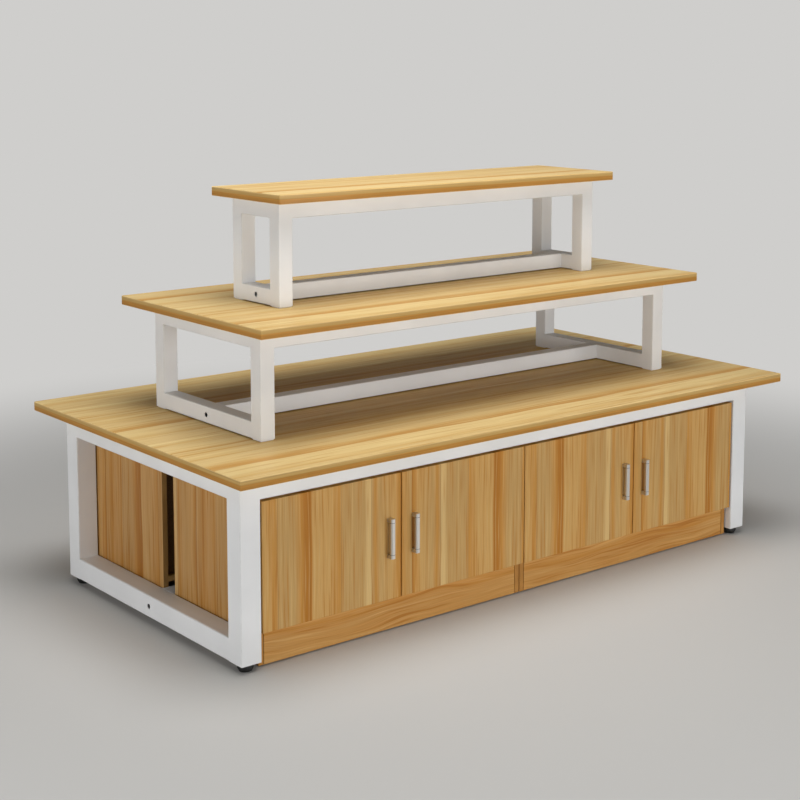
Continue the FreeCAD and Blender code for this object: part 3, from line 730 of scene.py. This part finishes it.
clear_rubber, tree = new_material("soft_clear_rubber")
place = add_node(tree, "ShaderNodeTexCoord").outputs["Object"]
haze = add_node(
    tree, "ShaderNodeTexNoise", {"Vector": place, "Scale": HAZE_PER_METRE, "Detail": 2.0}
)
tint = add_node(tree, "ShaderNodeValToRGB", {"Fac": haze}, RUBBER_TONES)
gloss = add_node(
    tree, "ShaderNodeMapRange", {"Value": haze, "To Min": RUBBER_SMOOTH, "To Max": RUBBER_ROUGH}
)
surface = add_node(
    tree,
    "ShaderNodeBsdfPrincipled",
    {
        "Base Color": tint,
        "Roughness": gloss,
        "Transmission Weight": RUBBER_CLARITY,
        "IOR": RUBBER_IOR,
    },
)
add_node(tree, "ShaderNodeOutputMaterial", {"Surface": surface})

bumper_low, bumper_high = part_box("door_bumpers")
bumper_heights = (bumper_low.z + BUMPER_RADIUS, bumper_high.z - BUMPER_RADIUS)
dome = [
    ring(circle(BUMPER_RADIUS * math.cos(turn)), BUMPER_HEIGHT * math.sin(turn))
    for turn in (math.pi / 2 * step / DOME_STEPS for step in range(DOME_STEPS))
]
mesh = bmesh.new()
for side, number in DOORS:
    direction = PANEL_FACES[number][1]
    door_low, door_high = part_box(f"door_front_{number}")
    free_edge = door_high.x if direction > 0 else door_low.x
    for height in bumper_heights:
        seat = Vector((free_edge - direction * BUMPER_INSET, carcass_front, height))
        add_loft(mesh, dome, TURN[side] @ Matrix.Translation(seat) @ facing((0, -1, 0)))
bumpers = make_piece("door_bumper_domes", mesh, clear_rubber, "base")
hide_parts("door_bumpers")

# Doors. Particle board, 18 mm thick, in the same printed film and edging. The two doors of a
# cupboard are cut side by side, so their staves mirror each other about the line between them.

# The x of the line between the doors of the right cupboard. The left one's is its opposite.
PAIR_CENTRE = (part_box("door_front_3")[1].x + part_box("door_front_4")[0].x) / 2
# How much further on the printed sheet the left door of a pair is than the right one.
MIRROR_SHIFT = 0.035


def book_matched(tree, split):
    """Upright grain, placed by its distance from the line between a pair of doors."""
    x = split.outputs["X"]
    row_half = add_node(tree, "ShaderNodeMath", {0: x}, operation="SIGN")
    centre = add_node(tree, "ShaderNodeMath", {0: row_half, 1: PAIR_CENTRE}, operation="MULTIPLY")
    offset = add_node(tree, "ShaderNodeMath", {0: x, 1: centre}, operation="SUBTRACT")
    distance = add_node(tree, "ShaderNodeMath", {0: offset}, operation="ABSOLUTE")
    on_left = add_node(tree, "ShaderNodeMath", {0: offset, 1: 0.0}, operation="LESS_THAN")
    across = add_node(
        tree,
        "ShaderNodeMath",
        {0: on_left, 1: MIRROR_SHIFT, 2: distance},
        operation="MULTIPLY_ADD",
    )
    return across, split.outputs["Z"]


door_film = melamine("door_melamine", UPRIGHT_TONES, book_matched)
cover(door_film, *(f"door_{side}_{number}" for side, number in DOORS))

# Hinge cups. Zinc cups pressed into 35 mm bores in the doors, nickel-plated like the arms, and
# each held by two screws through its flange.

CUP_SCREW_OFFSET = 0.0205
FLANGE_THICKNESS = 0.0012

for side, number in DOORS:
    low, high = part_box(f"hinge_cups_front_{number}")
    flange_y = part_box(f"door_front_{number}")[1].y + FLANGE_THICKNESS
    mesh = bmesh.new()
    for height in hinge_heights(number):
        for rise in (-CUP_SCREW_OFFSET, CUP_SCREW_OFFSET):
            seat = Vector(((low.x + high.x) / 2, flange_y, height + rise))
            outward = Matrix.Translation(seat) @ facing((0, 1, 0))
            add_cross_screw(mesh, TURN[side] @ outward)
    name = f"hinge_cup_screws_{side}_{number}"
    make_piece(name, mesh, nickel, f"{side}_door_{number}")

# Handles. Drawn steel bars with a crowned face, brushed along their length, and a thin black
# washer set in a groove near either end. Two screws from inside the door hold each one.

HANDLE_FOOT_HALF = 0.005
HANDLE_SCREW_RADIUS = 0.0042
GROOVE_PLACE = 0.0105
GROOVE_DEPTH = 0.0005
WASHER_THICKNESS = 0.0009
WASHER_PROUD = 0.0001
MERGE_DISTANCE = 0.000001

# Brushed stainless steel: fine lines along the bar stretch each highlight across it.
STEEL_TONES = ((0.3, "#C4C1BD"), (0.7, "#DCD9D5"))
STEEL_SMOOTH = 0.32
STEEL_ROUGH = 0.48
# Brush lines are 0.05 mm wide, and are drawn at 0.7 mm so that they show.
BRUSH_LINES_PER_METRE = (1400.0, 1400.0, 12.0)
BRUSH_HEIGHT = 0.00004

brushed_steel, tree = new_material("brushed_stainless_steel")
place = add_node(tree, "ShaderNodeTexCoord").outputs["Object"]
brush = add_node(tree, "ShaderNodeMapping", {"Vector": place, "Scale": BRUSH_LINES_PER_METRE})
brush = add_node(tree, "ShaderNodeTexNoise", {"Vector": brush, "Scale": 1.0, "Detail": 3.0})
tint = add_node(tree, "ShaderNodeValToRGB", {"Fac": brush}, STEEL_TONES)
gloss = add_node(
    tree, "ShaderNodeMapRange", {"Value": brush, "To Min": STEEL_SMOOTH, "To Max": STEEL_ROUGH}
)
relief = add_node(tree, "ShaderNodeBump", {"Height": brush, "Distance": BRUSH_HEIGHT})
surface = add_node(
    tree,
    "ShaderNodeBsdfPrincipled",
    {"Base Color": tint, "Metallic": 1.0, "Roughness": gloss, "Normal": relief},
)
add_node(tree, "ShaderNodeOutputMaterial", {"Surface": surface})
cover(brushed_steel, *(f"handle_{side}_{number}" for side, number in DOORS))


def add_slice(mesh, node, low, high, growth):
    """Add the slice of a CAD piece between two heights, grown sideways by as much all round."""
    part = bmesh.new()
    part.from_mesh(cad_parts[node].data)
    bmesh.ops.remove_doubles(part, verts=part.verts, dist=MERGE_DISTANCE)
    for height, upward in ((low, -1), (high, 1)):
        cut = bmesh.ops.bisect_plane(
            part,
            geom=part.verts[:] + part.edges[:] + part.faces[:],
            plane_co=(0.0, 0.0, height),
            plane_no=(0.0, 0.0, upward),
            clear_outer=True,
        )
        rim = [item for item in cut["geom_cut"] if isinstance(item, bmesh.types.BMEdge)]
        bmesh.ops.contextual_create(part, geom=rim)
    bmesh.ops.recalc_face_normals(part, faces=part.faces)
    least = Vector(min(vertex.co[axis] for vertex in part.verts) for axis in range(3))
    most = Vector(max(vertex.co[axis] for vertex in part.verts) for axis in range(3))
    size = most - least
    bmesh.ops.scale(
        part,
        vec=(1 + 2 * growth / size.x, 1 + 2 * growth / size.y, 1.0),
        space=Matrix.Translation(-(least + most) / 2),
        verts=part.verts,
    )
    piece = bpy.data.meshes.new("slice")
    part.to_mesh(piece)
    part.free()
    mesh.from_mesh(piece)
    bpy.data.meshes.remove(piece)


for side, number in DOORS:
    handle = f"handle_{side}_{number}"
    low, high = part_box(handle)
    mesh = bmesh.new()
    for groove in (low.z + GROOVE_PLACE, high.z - GROOVE_PLACE):
        bottom = groove - WASHER_THICKNESS / 2
        top = groove + WASHER_THICKNESS / 2
        add_slice(mesh, handle, bottom, top, GROOVE_DEPTH + WASHER_PROUD)
    name = f"handle_washers_{side}_{number}"
    make_piece(name, mesh, black_polyamide, f"{side}_door_{number}")

enlarged = Matrix.Scale(HANDLE_SCREW_RADIUS / SCREW_RADIUS, 4)
for side, number in DOORS:
    low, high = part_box(f"handle_front_{number}")
    door_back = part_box(f"door_front_{number}")[1].y
    mesh = bmesh.new()
    for height in (low.z + HANDLE_FOOT_HALF, high.z - HANDLE_FOOT_HALF):
        seat = Vector(((low.x + high.x) / 2, door_back, height))
        inward = Matrix.Translation(seat) @ facing((0, 1, 0)) @ enlarged
        add_cross_screw(mesh, TURN[side] @ inward)
    name = f"handle_screws_{side}_{number}"
    make_piece(name, mesh, nickel, f"{side}_door_{number}")

# Tops. Particle board, 26 mm thick, grain along the table, the print painted paler with light and
# sheen.
# The edging strip is printed in two layers, a thin sandy one over a thick rust one, under a painted
# highlight on its top arris.

# The tops carry the doors' print; these paler tones are painted light and sheen.
LIT_TOP_TONES = {
    "cream": "#E1C98F",
    "pale": "#DCC085",
    "sand": "#D7B97F",
    "gold": "#D2AD6D",
    "rust": "#C49552",
    "joint": "#C39D61",
}
TOP_SWAY = 0.006
TOP_FILM = 0.22
# Where each top starts on the printed sheet, so that no two show the same staves.
SHEET_STARTS = {"base": 0.262, "middle": 0.09, "top": 0.41}
BOARD_THICKNESS = 0.026
EDGING_LAYERS_AND_HIGHLIGHT = (
    (0.0, "#AB7839"),
    (0.48, "#B5833F"),
    (0.6, "#BB985A"),
    (0.88, "#C09F66"),
    # The palest stop, along the top arris, is a painted highlight.
    (0.95, "#E2C78E"),
)
# The edging's own grain lies in streaks of 4 mm by a quarter of a metre.
EDGE_STREAKS_PER_METRE = (4.0, 260.0, 1.0)
EDGE_LIGHTEST = 1.12
EDGE_DARKEST = 0.86
# A face is an edge of the board where the upward part of its normal is less than this.
LEVEL_NORMAL = 0.5


def edge_banded(material, bottom):
    """Print the board's upright edges in layers by the height above the board's bottom, with a
    painted highlight along the top arris.
    """
    tree = material.node_tree
    surface = next(node for node in tree.nodes if node.type == "BSDF_PRINCIPLED")
    face = surface.inputs["Base Color"].links[0].from_socket
    place = add_node(tree, "ShaderNodeTexCoord").outputs["Object"]
    split = add_node(tree, "ShaderNodeSeparateXYZ", {"Vector": place})
    height = add_node(
        tree,
        "ShaderNodeMapRange",
        {"Value": split.outputs["Z"], "From Min": bottom, "From Max": bottom + BOARD_THICKNESS},
    )
    layers_and_highlight = add_node(tree, "ShaderNodeValToRGB", {"Fac": height}, EDGING_LAYERS_AND_HIGHLIGHT)
    # The sum of X and Y grows along the edge, whichever way the edge faces.
    along = add_node(
        tree, "ShaderNodeMath", {0: split.outputs["X"], 1: split.outputs["Y"]}, operation="ADD"
    )
    streaks = add_node(tree, "ShaderNodeCombineXYZ", {"X": along, "Y": split.outputs["Z"]})
    streaks = add_node(
        tree, "ShaderNodeMapping", {"Vector": streaks, "Scale": EDGE_STREAKS_PER_METRE}
    )
    streaks = add_node(tree, "ShaderNodeTexNoise", {"Vector": streaks, "Scale": 1.0, "Detail": 2.0})
    depth = add_node(
        tree,
        "ShaderNodeMapRange",
        {
            "Value": streaks,
            "From Min": NOISE_LOW,
            "From Max": NOISE_HIGH,
            "To Min": EDGE_LIGHTEST,
            "To Max": EDGE_DARKEST,
        },
    )
    layers_and_highlight = add_node(
        tree, "ShaderNodeVectorMath", {0: layers_and_highlight, "Scale": depth}, operation="SCALE"
    )
    normal = add_node(tree, "ShaderNodeNewGeometry").outputs["True Normal"]
    normal = add_node(tree, "ShaderNodeSeparateXYZ", {"Vector": normal})
    rise = add_node(tree, "ShaderNodeMath", {0: normal.outputs["Z"]}, operation="ABSOLUTE")
    on_edge = add_node(tree, "ShaderNodeMath", {0: rise, 1: LEVEL_NORMAL}, operation="LESS_THAN")
    printed = add_node(
        tree, "ShaderNodeMix", {"Factor": on_edge, "A": face, "B": layers_and_highlight}, data_type="RGBA"
    )
    tree.links.new(printed.outputs["Result"], surface.inputs["Base Color"])


for tier, start in SHEET_STARTS.items():
    top_film = melamine(
        f"{tier}_top_melamine", LIT_TOP_TONES, level_on_top, start=start, sway=TOP_SWAY, film=TOP_FILM
    )
    edge_banded(top_film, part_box(f"{tier}_top_board")[0].z)
    cover(top_film, f"{tier}_top_board")

# Riser glides. Thin white polyethylene soles with a spigot in each leg, so that a riser can be
# lifted off or slid without marking the board below. The plastic is slightly waxy.

WHITE_MOULDING = ((0.4, "#E6E4DF"), (0.75, "#DDDAD3"))
WHITE_ROUGHNESS = 0.42

white_polyethylene = moulded_plastic("white_polyethylene", WHITE_MOULDING, WHITE_ROUGHNESS)
cover(white_polyethylene, "middle_glides", "top_glides")

# Studio. A plain pale floor that runs out into a backdrop of the same colour. One softbox
# hangs over the table, and four low ones stand round it.

BACKDROP = "#CFCECC"
CEILING = "#6E6D6B"
# Where the backdrop starts to dim and where it is dimmest, by the upward part of a line of sight.
DIM_START = 0.06
DIM_END = 0.24
AMBIENT = 0.08
FLOOR_TONE = "#C6C5C2"
FLOOR_SIZE = 80.0
FLOOR_FADE_START = 1.2
FLOOR_FADE_END = 3.2
FLOOR_ROUGHNESS = 0.7
FLOOR_SPECULAR = 0.1
# The grit of the floor is 0.5 mm across, and is drawn at 3 mm so that it shows.
GRIT_PER_METRE = 350.0
GRIT_HEIGHT = 0.0001


def picture_rays(tree):
    """1 for the rays that see the backdrop, which are those of the camera, gloss and glass."""
    path = add_node(tree, "ShaderNodeLightPath")
    seen = add_node(
        tree,
        "ShaderNodeMath",
        {0: path.outputs["Is Camera Ray"], 1: path.outputs["Is Glossy Ray"]},
        operation="MAXIMUM",
    )
    return add_node(
        tree,
        "ShaderNodeMath",
        {0: seen, 1: path.outputs["Is Transmission Ray"]},
        operation="MAXIMUM",
    )


bpy.ops.mesh.primitive_plane_add(size=FLOOR_SIZE)
floor = bpy.context.object
floor.name = "floor"
floor_material, tree = new_material("matt_pale_floor")
place = add_node(tree, "ShaderNodeTexCoord").outputs["Object"]
distance = add_node(tree, "ShaderNodeVectorMath", {0: place}, operation="LENGTH")
fade = add_node(
    tree,
    "ShaderNodeMapRange",
    {"Value": distance, "From Min": FLOOR_FADE_START, "From Max": FLOOR_FADE_END},
    interpolation_type="SMOOTHSTEP",
)
fade = add_node(tree, "ShaderNodeMath", {0: fade, 1: picture_rays(tree)}, operation="MULTIPLY")
grit = add_node(
    tree, "ShaderNodeTexNoise", {"Vector": place, "Scale": GRIT_PER_METRE, "Detail": 3.0}
)
relief = add_node(tree, "ShaderNodeBump", {"Height": grit, "Distance": GRIT_HEIGHT})
matt = add_node(
    tree,
    "ShaderNodeBsdfPrincipled",
    {
        "Base Color": linear(FLOOR_TONE),
        "Roughness": FLOOR_ROUGHNESS,
        "Normal": relief,
        "IOR": POLYMER_IOR,
        "Specular IOR Level": FLOOR_SPECULAR,
    },
)
backdrop = add_node(tree, "ShaderNodeEmission", {"Color": linear(BACKDROP), "Strength": 1.0})
surface = add_node(tree, "ShaderNodeMixShader", {0: fade, 1: matt, 2: backdrop})
add_node(tree, "ShaderNodeOutputMaterial", {"Surface": surface})
floor.data.materials.append(floor_material)

world = bpy.data.worlds.new("studio")
bpy.context.scene.world = world
world.use_nodes = True
tree = world.node_tree
tree.nodes.clear()
ambient = add_node(tree, "ShaderNodeBackground", {"Color": linear(BACKDROP), "Strength": AMBIENT})
# The backdrop is pale behind the table, and dims towards the ceiling.
sight = add_node(tree, "ShaderNodeTexCoord").outputs["Generated"]
sight = add_node(tree, "ShaderNodeSeparateXYZ", {"Vector": sight})
dimming = add_node(
    tree,
    "ShaderNodeMapRange",
    {"Value": sight.outputs["Z"], "From Min": DIM_START, "From Max": DIM_END},
    interpolation_type="SMOOTHSTEP",
)
shade = add_node(
    tree,
    "ShaderNodeMix",
    {"Factor": dimming, "A": linear(BACKDROP), "B": linear(CEILING)},
    data_type="RGBA",
)
backdrop = add_node(tree, "ShaderNodeBackground", {"Color": shade, "Strength": 1.0})
surface = add_node(tree, "ShaderNodeMixShader", {0: picture_rays(tree), 1: ambient, 2: backdrop})
add_node(tree, "ShaderNodeOutputWorld", {"Surface": surface})

LIGHT_AIM = Vector((0.0, 0.0, 0.5))


def softbox(name, width, depth, watts, place, in_gloss=True):
    """A soft rectangular lamp aimed at the table. No camera sees it, and where in_gloss is
    False no glossy surface mirrors it, which keeps glare off the tops in a low view."""
    data = bpy.data.lights.new(name, "AREA")
    data.shape = "RECTANGLE"
    data.size = width
    data.size_y = depth
    data.energy = watts
    lamp = bpy.data.objects.new(name, data)
    lamp.location = place
    lamp.visible_camera = False
    lamp.visible_glossy = in_gloss
    lamp.rotation_euler = (LIGHT_AIM - Vector(place)).to_track_quat("-Z", "Y").to_euler()
    bpy.context.scene.collection.objects.link(lamp)


softbox("overhead", width=2.4, depth=2.0, watts=92.0, place=(-0.45, -0.6, 3.4))
softbox("front_fill", width=4.5, depth=1.2, watts=122.0, place=(0.5, -5.0, 0.9))
softbox("left_fill", width=2.0, depth=1.2, watts=82.0, place=(-5.0, -0.7, 0.9), in_gloss=False)
softbox("rear_fill", width=3.5, depth=0.5, watts=66.0, place=(0.0, 5.0, 0.27), in_gloss=False)
softbox("right_fill", width=2.0, depth=0.5, watts=60.0, place=(5.0, 0.6, 0.27), in_gloss=False)

# Camera. A long lens at standing eye height, to the left of the table's front. It is shifted
# down to keep the uprights nearly parallel.

AZIMUTH = math.radians(38.568)
ELEVATION = math.radians(6.973)
DISTANCE = 4.7271
TARGET = Vector((-0.0872, 0.0, 0.9718))
LENS = 72.62
SENSOR = 36.0
SHIFT = -0.2

view = Vector(
    (
        math.sin(AZIMUTH) * math.cos(ELEVATION),
        math.cos(AZIMUTH) * math.cos(ELEVATION),
        -math.sin(ELEVATION),
    )
)
camera_data = bpy.data.cameras.new("camera")
camera_data.lens = LENS
camera_data.sensor_width = SENSOR
camera_data.shift_y = SHIFT
camera = bpy.data.objects.new("camera", camera_data)
camera.location = TARGET - view * DISTANCE
camera.rotation_euler = view.to_track_quat("-Z", "Y").to_euler()
bpy.context.scene.collection.objects.link(camera)
bpy.context.scene.camera = camera
bpy.context.scene.view_settings.view_transform = "Standard"
